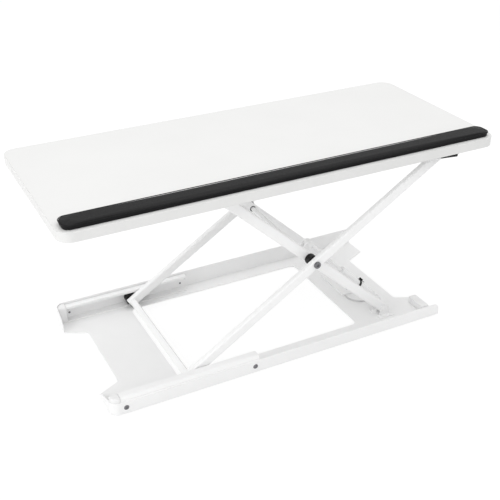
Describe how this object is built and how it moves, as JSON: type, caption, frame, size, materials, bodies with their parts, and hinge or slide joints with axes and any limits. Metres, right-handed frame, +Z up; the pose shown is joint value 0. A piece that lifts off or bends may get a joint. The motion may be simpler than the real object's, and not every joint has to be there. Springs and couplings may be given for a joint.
{
  "type": "standing desk converter",
  "caption": "Desktop sit-stand riser: a flat board with a padded front edge on two scissor frames that roll in a folded base and lower it level.",
  "frame": {"origin": "on the desk surface, under the middle of the board at full height", "axes": "+X along the board to the right as the user faces it, +Y away from the user, +Z up"},
  "size_m": [0.936, 0.4, 0.443],
  "materials": {
    "white_laminate": "satin melamine",
    "white_edge_band": "satin",
    "black_wrist_cover": "soft grained",
    "white_powder_coat": "fine satin powder coat",
    "white_plastic": "moulded",
    "black_nylon": "moulded",
    "black_rubber": "matt",
    "zinc_steel": "zinc plated",
    "white_cylinder_paint": "gloss",
    "dark_steel": "black zinc plated",
    "cable_jacket": "extruded"
  },
  "bodies": {
    "base": {"base_pan": "white_powder_coat", "front_rail": "white_powder_coat", "rear_rail": "white_powder_coat", "front_rail_stops": "white_plastic", "rear_rail_stops": "black_rubber", "left_end_caps": "white_plastic", "rail_screws": "dark_steel", "rubber_feet": "black_rubber", "pivot_brackets": "white_powder_coat", "pivot_bracket_screws": "white_powder_coat", "pivot_pins": "white_powder_coat", "foot_end_block": "white_plastic", "cable_anchor_plate": "white_powder_coat", "anchor_plate_bolt": "zinc_steel", "release_cable": "cable_jacket", "spring_foot_bracket": "white_powder_coat", "spring_foot_pin": "white_powder_coat"},
    "inner_frame": {"near_inner_arm": "white_powder_coat", "rear_inner_arm": "white_powder_coat", "inner_arm_plugs": "white_plastic", "upper_cross_tube": "white_powder_coat", "upper_roller_axles": "zinc_steel", "crossing_bushes": "black_nylon"},
    "outer_frame": {"near_outer_arm": "white_powder_coat", "rear_outer_arm": "white_powder_coat", "outer_arm_plugs": "black_nylon", "lower_cross_tube": "white_powder_coat", "lower_roller_axles": "zinc_steel", "crossing_shaft": "white_powder_coat", "crossing_bolts": "dark_steel", "crossing_spacers": "black_nylon", "lift_plates": "white_powder_coat", "lift_pin": "white_powder_coat"},
    "platform": {"platform_board": "white_laminate", "edge_band": "white_edge_band", "wrist_rest": "black_wrist_cover", "near_top_rail": "white_powder_coat", "rear_top_rail": "white_powder_coat", "top_rail_screws": "zinc_steel", "arm_clevises": "white_powder_coat", "clevis_screws": "zinc_steel", "clevis_pins": "zinc_steel", "lever_housing": "black_nylon", "lever_pin": "zinc_steel", "lever_return_spring": "zinc_steel"},
    "lever": {"release_lever": "black_nylon"},
    "lower_near_wheel": {"lower_near_roller": "black_nylon"},
    "lower_rear_wheel": {"lower_rear_roller": "black_nylon"},
    "upper_near_wheel": {"upper_near_roller": "black_nylon"},
    "upper_rear_wheel": {"upper_rear_roller": "black_nylon"},
    "spring_cylinder_body": {"spring_cylinder": "white_cylinder_paint", "spring_foot_fitting": "white_cylinder_paint", "spring_gland": "white_cylinder_paint", "cable_strap": "black_nylon"},
    "spring_rod_body": {"spring_rod": "white_cylinder_paint", "spring_piston": "dark_steel"}
  },
  "joints": [
    {"name": "lift", "type": "hinge", "parent": "base", "child": "inner_frame", "pos_m": [0.27225, 0.009, 0.02], "axis": [0, 1, 0], "range_deg": [-37.15, 0]},
    {"name": "outer_turn", "type": "hinge", "parent": "inner_frame", "child": "outer_frame", "pos_m": [0.067, 0.009, 0.2075], "axis": [0, 1, 0], "range_deg": [0, 65.46]},
    {"name": "platform_level", "type": "hinge", "parent": "outer_frame", "child": "platform", "pos_m": [0.36195, 0.009, 0.395], "axis": [0, 1, 0], "range_deg": [-28.31, 0]},
    {"name": "spring_tilt", "type": "hinge", "parent": "base", "child": "spring_cylinder_body", "pos_m": [0.274, -0.09, 0.026], "axis": [0, 1, 0], "range_deg": [-40.69, 0]},
    {"name": "rod_slide", "type": "slide", "parent": "spring_cylinder_body", "child": "spring_rod_body", "axis": [-0.6966, 0, 0.7175], "range_m": [-0.0145, 0]},
    {"name": "lower_near_spin", "type": "hinge", "parent": "outer_frame", "child": "lower_near_wheel", "pos_m": [-0.22795, 0.009, 0.02], "axis": [0, 1, 0], "continuous": true},
    {"name": "lower_rear_spin", "type": "hinge", "parent": "outer_frame", "child": "lower_rear_wheel", "pos_m": [-0.22795, 0.009, 0.02], "axis": [0, 1, 0], "continuous": true},
    {"name": "upper_near_spin", "type": "hinge", "parent": "inner_frame", "child": "upper_near_wheel", "pos_m": [-0.13825, 0.009, 0.395], "axis": [0, 1, 0], "continuous": true},
    {"name": "upper_rear_spin", "type": "hinge", "parent": "inner_frame", "child": "upper_rear_wheel", "pos_m": [-0.13825, 0.009, 0.395], "axis": [0, 1, 0], "continuous": true},
    {"name": "lever_squeeze", "type": "hinge", "parent": "platform", "child": "lever", "pos_m": [0.354, -0.178, 0.407], "axis": [-1, 0, 0], "range_deg": [0, 12], "stiffness_Nm_per_rad": 1, "springref_deg": -5.73}
  ],
  "couplings": [
    {"joint": "outer_turn", "follows": "lift", "ratio": -1.7607},
    {"joint": "platform_level", "follows": "lift", "ratio": 0.76072},
    {"joint": "spring_tilt", "follows": "lift", "ratio": 1.0939},
    {"joint": "rod_slide", "follows": "lift", "m_per_rad": 0.02221}
  ]
}
